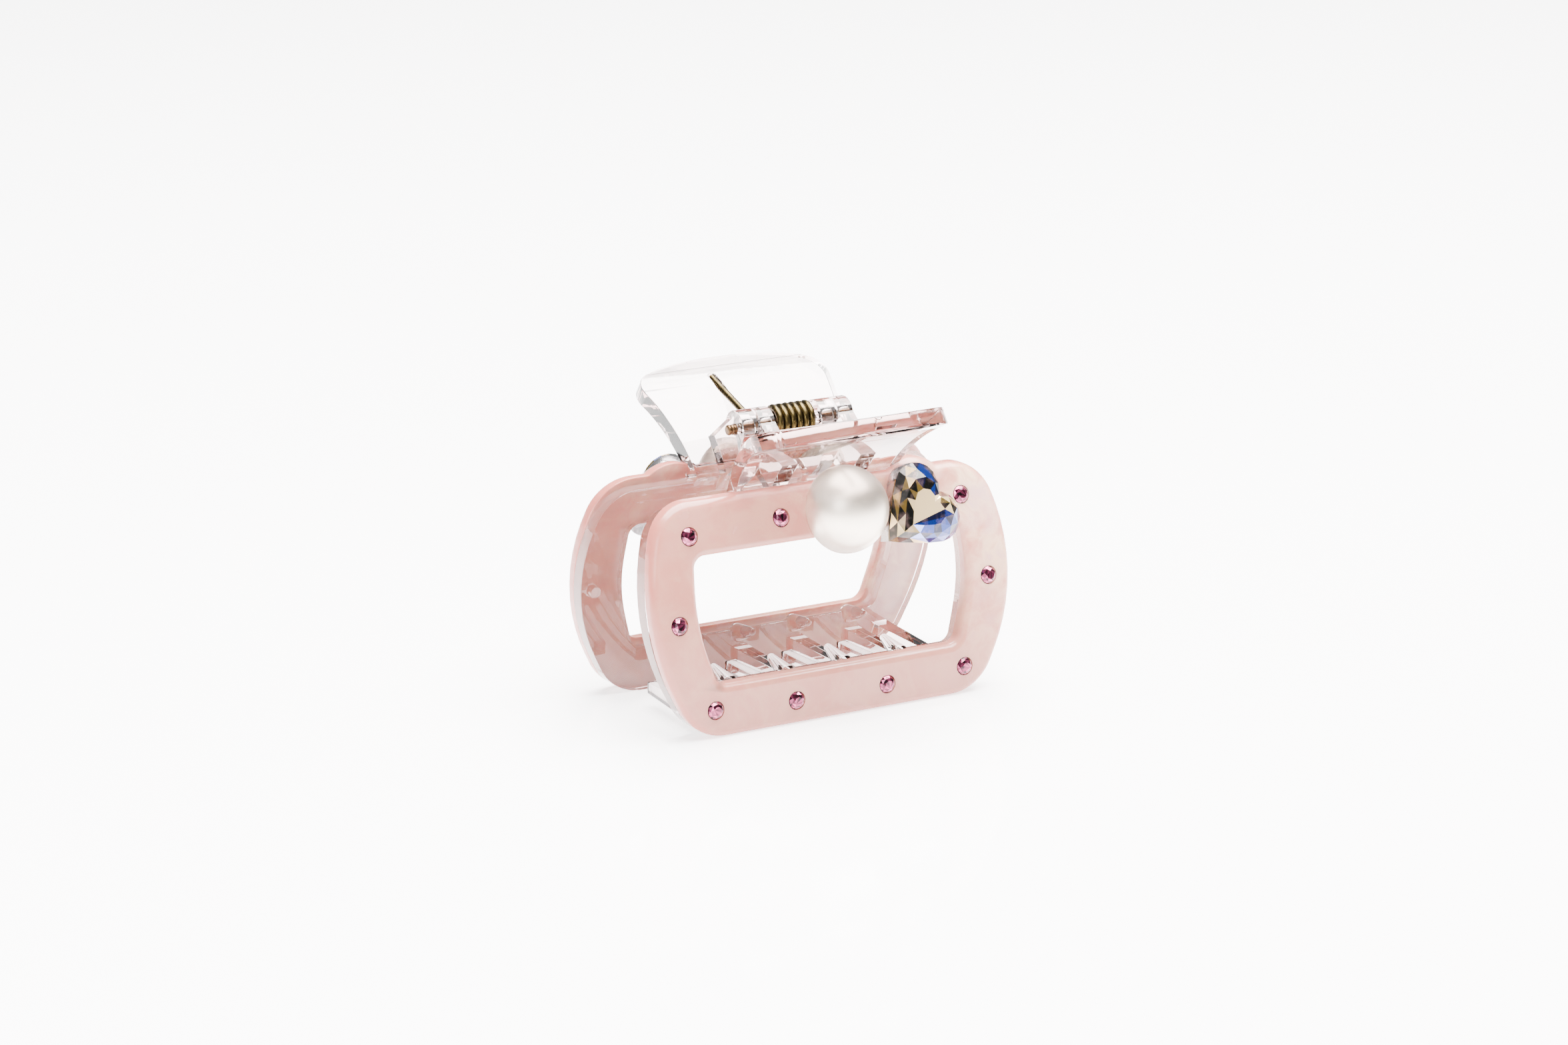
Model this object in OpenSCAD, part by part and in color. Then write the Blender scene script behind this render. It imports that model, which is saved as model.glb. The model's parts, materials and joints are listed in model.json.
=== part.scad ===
// Hair claw clip, in millimetres, +Z up.
// X runs along the hinge pin, the front jaw is at -Y and the rear jaw at +Y.
// The origin is on the floor, midway between the two jaws.
// The rear jaw and all that is fixed to it is the front jaw turned half a turn about Z.

/* [Jaw frame] */
// Height of a jaw frame above the floor
jaw_h = 26.4; // [24:0.2:30]
// Width across the shoulders, before their rounding
shoulder_w = 42.2; // [38:0.2:46]
// Rounding of the shoulders
shoulder_r = 5.4; // [3:0.2:7]
// Width across the belly, before its rounding
belly_w = 50.8; // [46:0.2:56]
// Rounding of the belly
belly_r = 24; // [16:1:28]
// Height of the belly
belly_z = 13.4; // [11:0.2:16]
// Width across the foot, before its rounding
foot_w = 37.4; // [34:0.2:40]
// Rounding of the foot's corners
foot_r = 6; // [3:0.2:8]
// Radius of a jaw's outer face, which is bowed about a line along X
face_r = 90; // [75:1:120]
// Height at which the outer face stands upright
plumb_z = -2; // [-6:0.5:4]
// Gap between the two jaws' inner faces at that height
mouth_w = 16.6; // [14:0.2:20]

/* [Window] */
// Height of the bar above the window
top_bar = 6; // [4:0.1:8]
// Height of the bar below the window
bottom_bar = 6; // [4:0.1:8]
// Width of the side bar at the window's top, before rounding
top_side_bar = 3.7; // [3:0.1:6]
// Width of the side bar at the belly, before rounding
belly_side_bar = 7.4; // [6:0.1:9]
// Width of the side bar at the window's bottom, before rounding
foot_side_bar = 2.9; // [2:0.1:5]
// Rounding of the window's corners
window_r = 1.4; // [0.6:0.1:3]

/* [Layers] */
// Thickness of the clear moulding behind the cover
moulding_t = 1.8; // [1.4:0.1:2.4]
// Thickness of the pearly cover
cover_t = 1.8; // [1.4:0.1:2.4]
// How far the cover's window is smaller than the moulding's, all round
window_step = 0.5; // [0.2:0.1:1]
// How far the cover stands above the top of the moulding
top_step = 1; // [0.4:0.1:1.6]
// Radius of the cover's raised lobe behind the heart stone
lobe_r = 4.5; // [4:0.1:5.5]

/* [Hinge] */
// Height of the hinge pin's centre above the jaw frames
hinge_rise = 5.55; // [5:0.05:7]
// Diameter of the hinge pin
pin_d = 1.2; // [1:0.1:1.6]
// Radial clearance of the pin in the ears
pin_clearance = 0.05; // [0.02:0.01:0.09]
// How far the pin stands out at its long end
pin_long_end = 1; // [0.5:0.1:2]
// How far the pin stands out at its short end
pin_short_end = 0.3; // [0.2:0.1:1]
// Radius of the round top of an ear
ear_r = 2.15; // [1.7:0.05:2.6]
// Thickness of an ear
ear_t = 2; // [1.5:0.1:2.5]
// Side gap between the two jaws' neighbouring ears
ear_gap = 0.25; // [0.1:0.05:0.4]
// How far an ear reaches down the inner face of its jaw
ear_foot = 2.6; // [1.5:0.1:4]

/* [Spring] */
// Diameter of the spring wire
wire_d = 0.82; // [0.6:0.02:1]
// Outer diameter of the coil
coil_d = 4.5; // [3.6:0.05:5.4]
// Number of whole turns in the coil
coil_turns = 6; // [4:1:8]
// Gap between one turn and the next, and between the coil and the ears
turn_gap = 0.02; // [0.01:0.01:0.1]
// How far short of the lever's end a spring leg stops
leg_short = 3.8; // [2:0.1:6]
// Clearance round a leg in its groove
groove_clearance = 0.15; // [0.1:0.05:0.3]

/* [Thumb lever] */
// Thickness of a lever
lever_t = 2; // [1.5:0.1:2.5]
// Radius of a lever's bowed upper side
lever_r = 20; // [16:0.5:24]
// Slope of the lever where it leaves the jaw, in degrees
lever_root_slope = 60; // [55:0.5:66]
// Slope of the line from a lever's root to its tip, in degrees
lever_chord_slope = 35.3; // [30:0.5:40]
// Length of a lever along that line
lever_l = 16.8; // [13:0.2:19]
// Width of a lever at its root
lever_root_w = 20.6; // [17:0.2:24]
// Width of a lever at its corners
lever_tip_w = 25.4; // [21:0.2:30]
// How far from the root the corners are, along the line
lever_corner = 13.8; // [11:0.2:15]
// Rounding of a lever's corners
lever_corner_r = 3.4; // [1:0.2:4]

/* [Teeth] */
// Distance from one tooth to the next
tooth_pitch = 7.55; // [7:0.05:8]
// Number of full teeth on a jaw
tooth_count = 4; // [3:1:4]
// How far a jaw's row of full teeth is shifted sideways from the middle
tooth_shift = 1.625; // [1.5:0.05:2]
// Distance of the short end tooth in from the foot's corner
end_tooth_inset = 1.6; // [1.2:0.1:2.2]
// Width of a tooth at its root
tooth_root_w = 2.2; // [1.6:0.1:2.6]
// Width of a tooth at its tip
tooth_tip_w = 1.5; // [1:0.1:1.8]
// Rounding of a tooth's tip
tooth_tip_r = 0.6; // [0.2:0.1:0.7]
// How far a full tooth reaches past the middle, towards the other jaw
tooth_past = 4.75; // [3:0.05:5.5]
// How far the end tooth reaches past the middle
end_tooth_past = 2.15; // [1:0.05:4]
// Height of a tooth's underside at its root
tooth_z = 1.3; // [1:0.1:2]
// Height of a tooth at its root
tooth_root_h = 2.3; // [1.8:0.1:3]
// Height of a tooth at its tip
tooth_tip_h = 1.3; // [1:0.1:1.6]
// How far the tooth's tip rises above its root
tooth_rise = 0.6; // [0:0.1:1.2]
// Length of the short spike above each full tooth
spike_l = 3.6; // [2.6:0.1:4.6]
// Diameter of a spike at its root
spike_root_d = 2.3; // [1.8:0.1:2.6]
// Diameter of a spike at its tip
spike_tip_d = 1; // [0.8:0.1:1.4]
// Upward slope of a spike, in degrees
spike_slope = 17; // [5:1:30]

/* [Stones] */
// Diameter of a rhinestone
stone_d = 2; // [1.6:0.1:2.4]
// Depth of a rhinestone's pocket in the cover
pocket_depth = 0.8; // [0.6:0.1:1.1]
// Radial clearance of a rhinestone in its pocket
pocket_clearance = 0.05; // [0.03:0.01:0.1]
// Height of a rhinestone's crown, which stands out of the cover
crown_h = 0.4; // [0.2:0.05:0.6]
// Distance of a bar's stones from the jaw frame's top or bottom edge
stone_inset = 3.05; // [2.6:0.05:3.4]
// How far in from the shoulder's corner a top stone sits
top_stone_inset = 3.2; // [2.5:0.1:4]
// How far in from the belly's corner a side stone sits
side_stone_inset = 5; // [4:0.1:6]
// How far in from the foot's corner an outer foot stone sits
foot_stone_inset = 2.2; // [1.5:0.1:3.5]
// Sideways place of the foot's two inner stones
inner_foot_stone_x = 6; // [4:0.1:8]
// Gap between the pearl and the stone beside it
pearl_stone_gap = 2.25; // [1:0.05:4]
// Diameter of the half-round pearl
pearl_d = 10.1; // [8:0.1:12.2]
// How far the pearl stands above the top of the jaw's frame
pearl_rise = 1.85; // [0.5:0.05:1.85]
// Width of the heart stone across its two lobes
heart_size = 10.1; // [8:0.1:12.2]
// Gap between the heart and the stone beyond it
heart_stone_gap = 0.6; // [0.3:0.05:1.5]
// Gap between the heart and the pearl
heart_gap = 0.16; // [0.1:0.02:1]
// How far the heart stands above the top of the jaw's frame
heart_rise = 0.97; // [0.5:0.01:1.5]
// Turn of the heart, clockwise, in degrees
heart_turn = 57; // [30:1:80]
// Height of the heart's metal setting
setting_h = 1.5; // [1:0.1:2.2]
// Wall of the metal setting
setting_t = 0.35; // [0.25:0.05:0.6]
// Height of the heart's crown above its setting
heart_crown_h = 2; // [1.4:0.1:2.6]

/* [Hidden] */
$fn = 48;
face_fn = 360;
corner_steps = 10;
far = 60;

hinge_z = jaw_h + hinge_rise;
face_foot_y = mouth_w / 2 + moulding_t + cover_t;
face_axis_y = face_r - face_foot_y;
seam_r = face_r - cover_t;
inner_r = seam_r - moulding_t;

// The heart, point down, with shares of its width: two round lobes and the point below them
heart_lobe = [0.213, 0.158] * heart_size;
heart_lobe_r = 0.287 * heart_size;
heart_point = [0, -0.515 * heart_size];
// Direction, from +X, in which the heart's straight right side faces
heart_slope = acos(heart_lobe_r / norm(heart_lobe - heart_point))
  - 90 - atan2(heart_lobe[0], heart_lobe[1] - heart_point[1]);
heart_side = heart_lobe * [cos(heart_slope), sin(heart_slope)] + heart_lobe_r;

// Along the top bar, from the outer stone inwards: stone, heart, pearl, stone
top_stone_x = shoulder_w / 2 - top_stone_inset;
heart_reach = heart_lobe * [cos(heart_turn), sin(heart_turn)] + heart_lobe_r;
heart_x = top_stone_x - stone_d / 2 - heart_stone_gap - heart_reach;
heart_drop = heart_lobe * [sin(heart_turn), cos(heart_turn)] + heart_lobe_r - heart_rise;
pearl_drop = pearl_d / 2 - pearl_rise;
pearl_side = heart_slope + heart_turn;
pearl_x = heart_x
  - (heart_side + heart_gap + pearl_d / 2 - (heart_drop - pearl_drop) * sin(pearl_side)) / cos(pearl_side);
pearl_stone_x = pearl_x - pearl_d / 2 - pearl_stone_gap - stone_d / 2;

// [x, z] of the rhinestones on a front jaw: three on the top bar, one on each side bar, four on the foot
side_stone_x = belly_w / 2 - side_stone_inset;
foot_stone_x = foot_w / 2 - foot_stone_inset;
bar_bow = 0.5;
stones = [
  [-top_stone_x, jaw_h - stone_inset - bar_bow],
  [pearl_stone_x, jaw_h - stone_inset],
  [top_stone_x, jaw_h - stone_inset - bar_bow],
  [-side_stone_x, belly_z],
  [side_stone_x, belly_z],
  [-foot_stone_x, stone_inset + bar_bow / 2],
  [-inner_foot_stone_x, stone_inset - bar_bow / 2],
  [inner_foot_stone_x, stone_inset - bar_bow / 2],
  [foot_stone_x, stone_inset + bar_bow / 2]
];
stone_seat_d = stone_d * 0.45;
stone_table_d = stone_d * 0.55;

// The ears' X ranges on a front jaw: the outer one, then the inner one
coil_l = coil_turns * (wire_d + turn_gap) + wire_d;
coil_side_gap = 0.1;
ear_start = coil_l / 2 + coil_side_gap;
inner_ear_x = -ear_start - ear_t;
outer_ear_x = ear_start + ear_t + ear_gap;
hinge_half_l = outer_ear_x + ear_t;

// ---- Plain geometry ----

function unit(v) = v / norm(v);

// How far along its two sides the rounding of corner b reaches. Each corner is [x, y, radius].
function side(a, b) = [b[0] - a[0], b[1] - a[1]];
function reach(a, b, c) =
  b[2] == 0 ? 0 : b[2] / tan(acos(unit(side(b, a)) * unit(side(b, c))) / 2);

// The arc that rounds corner b, with its radius scaled by share
function corner_arc(a, b, c, share) =
  let (
    p = [b[0], b[1]],
    back = unit(side(b, a)),
    ahead = unit(side(b, c)),
    r = b[2] * share,
    l = reach(a, b, c) * share,
    centre = p + unit(back + ahead) * norm([r, l]),
    from = p + back * l - centre,
    to = p + ahead * l - centre
  )
  b[2] == 0 ? [p] :
  [for (k = [0:corner_steps]) centre + r * unit(from + (to - from) * k / corner_steps)];

// A closed outline through the corners, each rounded to its radius, or to what its sides leave room for
function rounded(corners) =
  let (
    n = len(corners),
    last = n - 1,
    before = function (i) corners[(i + last) % n],
    after = function (i) corners[(i + 1) % n],
    reaches = [for (i = [0:last]) reach(before(i), corners[i], after(i))],
    room = function (i)
      let (need = reaches[i] + reaches[(i + 1) % n])
      need == 0 ? 1 : min(1, 0.99 * norm(side(corners[i], after(i))) / need)
  )
  [for (i = [0:last])
    each corner_arc(before(i), corners[i], after(i), min(room(i), room((i + last) % n)))];

// The corners of the right half, followed by the same corners mirrored to the left
function both_sides(right) =
  concat(right, [for (i = [len(right) - 1:-1:0]) [-right[i][0], right[i][1], right[i][2]]]);

// A solid through a list of rings, each with the same number of points
module loft(rings) {
  n = len(rings[0]);
  last = len(rings) - 1;
  walls = [for (i = [0:last - 1], k = [0:n - 1])
    [i * n + k, (i + 1) * n + k, (i + 1) * n + (k + 1) % n, i * n + (k + 1) % n]];
  start_cap = [for (k = [0:n - 1]) k];
  end_cap = [for (k = [n - 1:-1:0]) last * n + k];
  polyhedron([for (ring = rings) each ring], concat(walls, [start_cap, end_cap]), convexity = 8);
}

// A cylinder along X whose centre is at [y, z]
module along_x(r, y, z, l = 2 * far, fn = face_fn)
  translate([0, y, z]) rotate([0, 90, 0]) cylinder(r = r, h = l, center = true, $fn = fn);

// An XZ outline made solid from the middle of the clip to well in front of it
module facing_front(depth = far / 2)
  rotate([90, 0, 0]) linear_extrude(depth) children();

// A YZ outline made solid along X
module facing_side(x, l)
  translate([x, 0, 0]) rotate([90, 0, 90]) linear_extrude(l) children();

// ---- The bowed face ----

// Y of a front jaw's bowed surface of radius r, at height z
function bowed_y(r, z) = face_axis_y - sqrt(r * r - pow(z - plumb_z, 2));

// Children stand on the outer face at [x, z], with their own +Z pointing out of it
module on_face(x, z) {
  lean = asin((z - plumb_z) / face_r);
  translate([x, bowed_y(face_r, z), z]) rotate([90 - lean, 0, 0]) children();
}

// The layer of a front jaw between two bowed radii
module bowed_layer(outer_r, layer_inner_r) {
  difference() {
    along_x(outer_r, face_axis_y, plumb_z);
    along_x(layer_inner_r, face_axis_y, plumb_z);
  }
}

// ---- Outlines of the frames, in X and Z ----

cover_outline = rounded(both_sides([
  [foot_w / 2, 0, foot_r],
  [belly_w / 2, belly_z, belly_r],
  [shoulder_w / 2, jaw_h, shoulder_r]
]));

moulding_outline = rounded(both_sides([
  [foot_w / 2, 0, foot_r],
  [belly_w / 2, belly_z, belly_r],
  [shoulder_w / 2, jaw_h - top_step, shoulder_r]
]));

// The window's outline, opened out by step all round
window_belly_r = belly_r - 3;
function window_outline(step) = rounded(both_sides([
  [foot_w / 2 - foot_side_bar + step, bottom_bar - step, window_r],
  [belly_w / 2 - belly_side_bar + step, belly_z, window_belly_r],
  [shoulder_w / 2 - top_side_bar + step, jaw_h - top_bar + step, window_r]
]));

// ---- Cover ----

// Centre of the lobe that backs the heart, which is a little further out and up than the heart's
lobe_centre = [heart_x + 1.5, jaw_h - heart_drop + 1.25];
lobe_clearance = 0.05;

module cover() {
  color([0.9, 0.76, 0.73])
  difference() {
    intersection() {
      bowed_layer(face_r, seam_r);
      facing_front() difference() {
        union() {
          polygon(cover_outline);
          translate(lobe_centre) circle(lobe_r);
        }
        polygon(window_outline(0));
      }
    }
    for (stone = stones)
      on_face(stone[0], stone[1])
        translate([0, 0, -pocket_depth]) cylinder(d = stone_d + 2 * pocket_clearance, h = far / 10);
  }
}

// ---- Jaw moulding: frame, lever, ears, teeth ----

lever_inset = 0.1;
lever_root_y = lever_inset - bowed_y(inner_r, jaw_h);
lever_axis_y = lever_root_y + lever_r * sin(lever_root_slope);
lever_axis_z = jaw_h - lever_r * cos(lever_root_slope);

// [distance out from the hinge, height] on a lever's upper side, where its slope is s
function lever_at(s, depth = 0) = [
  lever_axis_y - (lever_r - depth) * sin(s),
  lever_axis_z + (lever_r - depth) * cos(s)
];

// A lever seen square to its chord: x, then distance from the root. It flares towards its corners
// and its end is an arc. The last steps of both are left to the corner's rounding.
lever_bow = lever_l - lever_corner;
lever_end_r = (pow(lever_tip_w / 2, 2) + pow(lever_bow, 2)) / (2 * lever_bow);
lever_end_angle = asin(lever_tip_w / 2 / lever_end_r);
lever_overlap = 0.6;
lever_flare = 1.15;
lever_steps = 9;
lever_free_steps = 6;
lever_side = [for (k = [0:lever_free_steps]) [
  lever_root_w / 2 + (lever_tip_w - lever_root_w) / 2 * pow(k / lever_steps, lever_flare),
  lever_corner * k / lever_steps,
  0
]];
lever_end = [for (k = [lever_free_steps:-1:1]) [
  lever_end_r * sin(lever_end_angle * k / lever_steps),
  lever_l - lever_end_r * (1 - cos(lever_end_angle * k / lever_steps)),
  0
]];
lever_outline = rounded(both_sides(concat(
  [[lever_root_w / 2, -lever_overlap, 0]],
  lever_side,
  [[lever_tip_w / 2, lever_corner, lever_corner_r]],
  lever_end
)));

module lever() {
  intersection() {
    difference() {
      along_x(lever_r, -lever_axis_y, lever_axis_z);
      along_x(lever_r - lever_t, -lever_axis_y, lever_axis_z);
    }
    translate([0, -lever_root_y, jaw_h]) rotate([180 - lever_chord_slope, 0, 0])
      linear_extrude(lever_l, center = true) polygon(lever_outline);
  }
}

// An ear seen from the side: y, z. It joins the lever at a slope, and its throat is under the hinge.
ear_lever_slope = 48;
ear_throat = [0.4, 1.8];
ear_side = [
  [0, hinge_z + ear_r],
  [-lever_at(ear_lever_slope)[0], lever_at(ear_lever_slope)[1]],
  [-lever_at(ear_lever_slope, lever_t / 2)[0], lever_at(ear_lever_slope, lever_t / 2)[1]],
  [-lever_root_y - lever_t / 2, jaw_h],
  [bowed_y(inner_r + moulding_t / 2, jaw_h - ear_foot), jaw_h - ear_foot],
  [bowed_y(inner_r, jaw_h - ear_foot), jaw_h - ear_foot],
  [ear_throat[0], hinge_z - ear_r - ear_throat[1]],
  [ear_r, hinge_z]
];

module ear(x) {
  facing_side(x, ear_t) {
    polygon(ear_side);
    translate([0, hinge_z]) circle(ear_r);
  }
}

// A tooth whose tip is at tip_y: its plan in X and Y, and its side in Y and Z
module tooth(x, tip_y) {
  sunk_y = bowed_y(inner_r, tooth_z) - moulding_t / 2;
  plan = rounded([
    [x - tooth_root_w / 2, sunk_y, 0],
    [x + tooth_root_w / 2, sunk_y, 0],
    [x + tooth_tip_w / 2, tip_y, tooth_tip_r],
    [x - tooth_tip_w / 2, tip_y, tooth_tip_r]
  ]);
  side = rounded([
    [sunk_y, tooth_z, 0],
    [tip_y, tooth_z + tooth_rise, tooth_tip_r / 2],
    [tip_y, tooth_z + tooth_rise + tooth_tip_h, tooth_tip_r],
    [sunk_y, tooth_z + tooth_root_h, 0]
  ]);
  intersection() {
    linear_extrude(jaw_h) polygon(plan);
    facing_side(x - tooth_root_w, 2 * tooth_root_w) polygon(side);
  }
}

module spike(x) {
  root_z = bottom_bar - window_step - spike_root_d / 4;
  translate([x, bowed_y(inner_r, root_z) - moulding_t / 4, root_z])
    rotate([spike_slope - 90, 0, 0]) {
      cylinder(d1 = spike_root_d, d2 = spike_tip_d, h = spike_l);
      translate([0, 0, spike_l]) sphere(d = spike_tip_d);
    }
}

// The small round gate nub that moulding leaves on the inner face
nub_d = 1.4;
nub_h = 1;
nub_inset = 3.3;
module gate_nub() {
  nub_x = belly_w / 2 - nub_inset;
  translate([nub_x, bowed_y(inner_r, belly_z) - moulding_t / 4, belly_z])
    rotate([-90, 0, 0]) cylinder(d = nub_d, h = nub_h + moulding_t / 4);
}

// Full teeth sit at even steps, shifted sideways so that the two jaws' teeth pass each other
function tooth_x(i) = (i - (tooth_count - 1) / 2) * tooth_pitch - tooth_shift;

module jaw() {
  color([0.97, 0.88, 0.87, 0.45])
  difference() {
    union() {
      intersection() {
        bowed_layer(seam_r, inner_r);
        facing_front() difference() {
          polygon(moulding_outline);
          polygon(window_outline(window_step));
        }
      }
      difference() {
        lever();
        intersection() {
          bowed_layer(face_r + lever_r, seam_r);
          facing_front() {
            translate([-far, -far]) square([2 * far, far + jaw_h]);
            translate(lobe_centre) circle(lobe_r + lobe_clearance);
          }
        }
      }
      ear(inner_ear_x);
      ear(outer_ear_x);
      for (i = [0:tooth_count - 1]) {
        tooth(tooth_x(i), tooth_past);
        spike(tooth_x(i));
      }
      tooth(end_tooth_inset - foot_w / 2, end_tooth_past);
      gate_nub();
    }
    along_x(pin_d / 2 + pin_clearance, 0, hinge_z, fn = 48);
    spring_leg_groove();
  }
}

// ---- Hinge pin and torsion spring ----

module hinge_pin() {
  chamfer = pin_d / 6;
  l = 2 * hinge_half_l + pin_long_end + pin_short_end;
  color([0.55, 0.45, 0.28])
  translate([-hinge_half_l - pin_long_end, 0, hinge_z]) rotate([0, 90, 0]) {
    cylinder(d1 = pin_d - 2 * chamfer, d2 = pin_d, h = chamfer);
    translate([0, 0, chamfer]) cylinder(d = pin_d, h = l - 2 * chamfer);
    translate([0, 0, l - chamfer]) cylinder(d1 = pin_d, d2 = pin_d - 2 * chamfer, h = chamfer);
  }
}

// The coil's centre line is a helix round the pin. It starts and ends under the pin, at the
// points where the two straight legs leave it, so a leg and the coil share one tangent.
wire_r = wire_d / 2;
turn_r = coil_d / 2 - wire_r;
turn_pitch = wire_d + turn_gap;
leg_seat = 0.4;
leg_reach = lever_root_y + lever_l * cos(lever_chord_slope) - leg_short;
leg_end_slope = asin((lever_axis_y - leg_reach) / lever_r);
leg_end = [leg_reach, lever_at(leg_end_slope)[1] - leg_seat];
leg_rise = leg_end[1] - hinge_z;
leg_span = norm([leg_end[0], leg_rise]);
leg_slope = atan2(leg_rise, leg_end[0]) + asin(turn_r / leg_span);
coil_start = leg_slope - 90;
coil_sweep = 360 * coil_turns + 2 * leg_slope;
coil_rings = 16 * coil_turns;
coil_x = turn_pitch * coil_sweep / 360 / 2;

function on_coil(share) =
  let (a = coil_start - share * coil_sweep)
  [-coil_x + 2 * coil_x * share, turn_r * cos(a), hinge_z + turn_r * sin(a)];

spring_path = concat(
  [[-coil_x, leg_end[0], leg_end[1]]],
  [for (i = [0:coil_rings]) on_coil(i / coil_rings)],
  [[coil_x, -leg_end[0], leg_end[1]]]
);

// A ring of the wire's section at point i, square to the path
wire_sides = 10;
function wire_ring(i) =
  let (
    last = len(spring_path) - 1,
    along = unit(spring_path[min(i + 1, last)] - spring_path[max(i - 1, 0)]),
    up = unit(cross([1, 0, 0], along)),
    side = cross(along, up)
  )
  [for (k = [0:wire_sides - 1])
    spring_path[i] + wire_r * (cos(360 * k / wire_sides) * up + sin(360 * k / wire_sides) * side)];

module torsion_spring()
  color([0.6, 0.5, 0.3])
  loft([for (i = [0:len(spring_path) - 1]) wire_ring(i)]);

// The front lever's groove follows the spring's front leg
module spring_leg_groove() {
  groove_r = wire_r + groove_clearance;
  translate([coil_x, -leg_end[0], leg_end[1]]) rotate([90 - leg_slope, 0, 0]) {
    translate([0, 0, -leg_span / 2]) cylinder(r = groove_r, h = leg_span / 2);
    sphere(groove_r);
  }
}

// ---- Stones ----

// A faceted stone that sits on the floor of its pocket
stone_facets = 8;
module rhinestone(place)
  color([0.75, 0.33, 0.52])
  on_face(place[0], place[1]) translate([0, 0, -pocket_depth]) {
    cylinder(d1 = stone_seat_d, d2 = stone_d, h = pocket_depth, $fn = 2 * stone_facets);
    translate([0, 0, pocket_depth])
      cylinder(d1 = stone_d, d2 = stone_table_d, h = crown_h, $fn = 2 * stone_facets);
  }

module pearl()
  color([0.95, 0.92, 0.88])
  difference() {
    on_face(pearl_x, jaw_h - pearl_drop) sphere(d = pearl_d, $fn = 96);
    along_x(face_r, face_axis_y, plumb_z);
  }

// The heart's outline, scaled: round its right lobe from the notch, then to the point
heart_steps = 20;
heart_notch = acos(-heart_lobe[0] / heart_lobe_r);
heart_right = [for (k = [1:heart_steps])
  let (a = heart_notch + (heart_slope - heart_notch) * k / heart_steps)
  heart_lobe + heart_lobe_r * [cos(a), sin(a)]];
heart_top = heart_lobe[1] + heart_lobe_r * sin(heart_notch);
heart_outline = concat(
  [[0, heart_top]],
  heart_right,
  [heart_point],
  [for (k = [heart_steps - 1:-1:0]) [-heart_right[k][0], heart_right[k][1]]]
);
function heart(share = 1) = share * [for (k = [len(heart_outline) - 1:-1:0]) heart_outline[k]];
function heart_ring(share, z) = [for (p = heart(share)) [p[0], p[1], z]];

module at_heart()
  on_face(heart_x, jaw_h - heart_drop) rotate([0, 0, -heart_turn]) children();

// Share of the heart's size that is left inside a wall or a gap of this width all round
function inside(width) = 1 - 2 * width / heart_size;

module heart_setting()
  color([0.75, 0.75, 0.76])
  difference() {
    at_heart() difference() {
      translate([0, 0, -setting_t]) linear_extrude(setting_h + setting_t) polygon(heart());
      translate([0, 0, setting_t]) linear_extrude(setting_h) polygon(heart(inside(setting_t)));
    }
    along_x(face_r, face_axis_y, plumb_z);
  }

// The stone's base is held inside the setting, and its girdle rests on the rim
heart_girdle_h = 0.3;
heart_rim_lap = 0.01;
heart_clearance = 0.03;
heart_base_share = 0.8;
heart_step_share = 0.78;
heart_step_height = 0.62;
heart_table_share = 0.52;
module heart_stone() {
  seat = inside(setting_t + heart_clearance);
  color([0.62, 0.66, 0.82])
  at_heart() loft([
    heart_ring(seat * heart_base_share, setting_t),
    heart_ring(seat, setting_h),
    heart_ring(1, setting_h + heart_rim_lap),
    heart_ring(1, setting_h + heart_girdle_h),
    heart_ring(heart_step_share, setting_h + heart_crown_h * heart_step_height),
    heart_ring(heart_table_share, setting_h + heart_crown_h)
  ]);
}

// ---- The two halves ----

module turned_rear() rotate([0, 0, 180]) children();

jaw();  // front_jaw
turned_rear() jaw();  // rear_jaw
cover();  // front_cover
turned_rear() cover();  // rear_cover
for (i = [1:len(stones)]) {
  rhinestone(stones[i - 1]);
  turned_rear() rhinestone(stones[i - 1]);
}
pearl();  // front_pearl
turned_rear() pearl();  // rear_pearl
heart_setting();  // front_heart_setting
turned_rear() heart_setting();  // rear_heart_setting
heart_stone();  // front_heart_stone
turned_rear() heart_stone();  // rear_heart_stone
hinge_pin();
torsion_spring();
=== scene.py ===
"""Hair claw clip: bevelled covers, clear mouldings, cut stones, pin and spring round the fixed frame."""

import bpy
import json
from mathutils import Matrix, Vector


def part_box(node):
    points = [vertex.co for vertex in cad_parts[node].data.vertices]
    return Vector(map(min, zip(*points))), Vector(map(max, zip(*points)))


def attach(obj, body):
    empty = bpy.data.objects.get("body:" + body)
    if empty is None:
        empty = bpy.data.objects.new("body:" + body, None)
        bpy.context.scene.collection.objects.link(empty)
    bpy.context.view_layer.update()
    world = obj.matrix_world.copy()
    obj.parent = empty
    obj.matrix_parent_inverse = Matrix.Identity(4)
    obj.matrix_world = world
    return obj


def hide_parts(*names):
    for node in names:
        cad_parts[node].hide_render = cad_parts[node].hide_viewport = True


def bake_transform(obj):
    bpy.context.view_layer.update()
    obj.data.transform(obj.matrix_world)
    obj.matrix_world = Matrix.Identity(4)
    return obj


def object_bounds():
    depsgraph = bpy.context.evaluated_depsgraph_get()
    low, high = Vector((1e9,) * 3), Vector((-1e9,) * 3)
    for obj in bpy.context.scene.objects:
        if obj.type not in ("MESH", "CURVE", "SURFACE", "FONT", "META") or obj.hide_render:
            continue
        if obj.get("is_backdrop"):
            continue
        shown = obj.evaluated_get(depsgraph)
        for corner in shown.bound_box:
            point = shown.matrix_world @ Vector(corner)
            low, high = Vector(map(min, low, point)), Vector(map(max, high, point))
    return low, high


bl_info = {
    "name": "Claw Clip",
    "version": (1, 0, 0),
    "blender": (4, 5, 0),
    "location": "View3D > Sidebar > Claw Clip",
    "description": "Builds the looks of a hinged hair claw clip piece by piece",
    "category": "Add Mesh",
}

import json
import math
from contextlib import contextmanager

import bpy
from bpy.props import FloatProperty, FloatVectorProperty, IntProperty, PointerProperty
from mathutils import Matrix, Vector

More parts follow.
